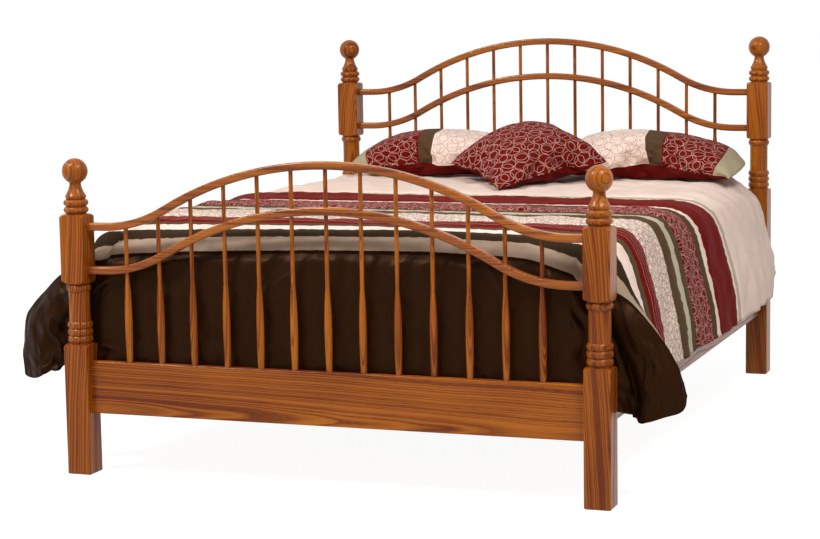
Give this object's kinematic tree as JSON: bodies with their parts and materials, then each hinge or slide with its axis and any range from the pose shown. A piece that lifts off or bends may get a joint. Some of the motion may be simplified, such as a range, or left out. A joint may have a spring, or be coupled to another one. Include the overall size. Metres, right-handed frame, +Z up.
{
  "type": "spindle bed",
  "caption": "Wooden bed with arched head and foot boards of turned spindles between turned ball-finial posts, dressed with a mattress, a banded quilted cover and pillows.",
  "frame": {"origin": "on the floor, in the middle of the bed's outline", "axes": "+X to the right seen from the foot, +Y from the foot to the head, +Z up"},
  "size_m": [2.023, 2.2352, 1.215],
  "materials": {
    "oak": "satin honey lacquer over oak",
    "plain_wood": "planed, unfinished",
    "steel": "zinc plated",
    "ticking": "woven ticking",
    "mattress_cover": "quilted knit",
    "comforter_cloth": "matt woven cloth in bands of burgundy, cream, olive, taupe and brown",
    "sham_cloth": "matt woven cloth in bands of burgundy, cream, olive and taupe",
    "throw_cloth": "matt woven cloth, burgundy with a cream embroidered band"
  },
  "bodies": {
    "frame": {"foot_lower_rail": "oak", "foot_panel": "oak", "foot_post_left": "oak", "foot_post_right": "oak", "foot_spindle_01": "oak", "foot_spindle_02": "oak", "foot_spindle_03": "oak", "foot_spindle_04": "oak", "foot_spindle_05": "oak", "foot_spindle_06": "oak", "foot_spindle_07": "oak", "foot_spindle_08": "oak", "foot_spindle_09": "oak", "foot_spindle_10": "oak", "foot_spindle_11": "oak", "foot_spindle_12": "oak", "foot_spindle_13": "oak", "foot_top_rail": "oak", "head_lower_rail": "oak", "head_panel": "oak", "head_post_left": "oak", "head_post_right": "oak", "head_spindle_01": "oak", "head_spindle_02": "oak", "head_spindle_03": "oak", "head_spindle_04": "oak", "head_spindle_05": "oak", "head_spindle_06": "oak", "head_spindle_07": "oak", "head_spindle_08": "oak", "head_spindle_09": "oak", "head_spindle_10": "oak", "head_spindle_11": "oak", "head_spindle_12": "oak", "head_spindle_13": "oak", "head_top_rail": "oak", "hook_plates": "steel", "ledger_left": "plain_wood", "ledger_right": "plain_wood", "ledger_screws": "steel", "plate_screws": "steel", "side_rail_left": "oak", "side_rail_right": "oak", "slat_1": "plain_wood", "slat_2": "plain_wood", "slat_3": "plain_wood", "slat_4": "plain_wood", "slat_5": "plain_wood", "slot_plates": "steel"},
    "foundation": {"foundation": "ticking"},
    "mattress": {"mattress": "mattress_cover"},
    "comforter": {"comforter": "comforter_cloth"},
    "shams": {"sham_left": "sham_cloth", "sham_right": "sham_cloth"},
    "throw_pillow": {"throw_pillow": "throw_cloth"}
  },
  "joints": [
    {"name": "lift_foundation", "type": "slide", "parent": "frame", "child": "foundation", "axis": [0, 0, 1], "range_m": [0, 0.2]},
    {"name": "lift_mattress", "type": "slide", "parent": "foundation", "child": "mattress", "axis": [0, 0, 1], "range_m": [0, 0.2]},
    {"name": "lift_comforter", "type": "slide", "parent": "mattress", "child": "comforter", "axis": [0, 0, 1], "range_m": [0, 0.35]},
    {"name": "lift_shams", "type": "slide", "parent": "comforter", "child": "shams", "axis": [0, 0, 1], "range_m": [0, 0.2]},
    {"name": "lift_throw_pillow", "type": "slide", "parent": "shams", "child": "throw_pillow", "axis": [0, 0, 1], "range_m": [0, 0.2]}
  ]
}
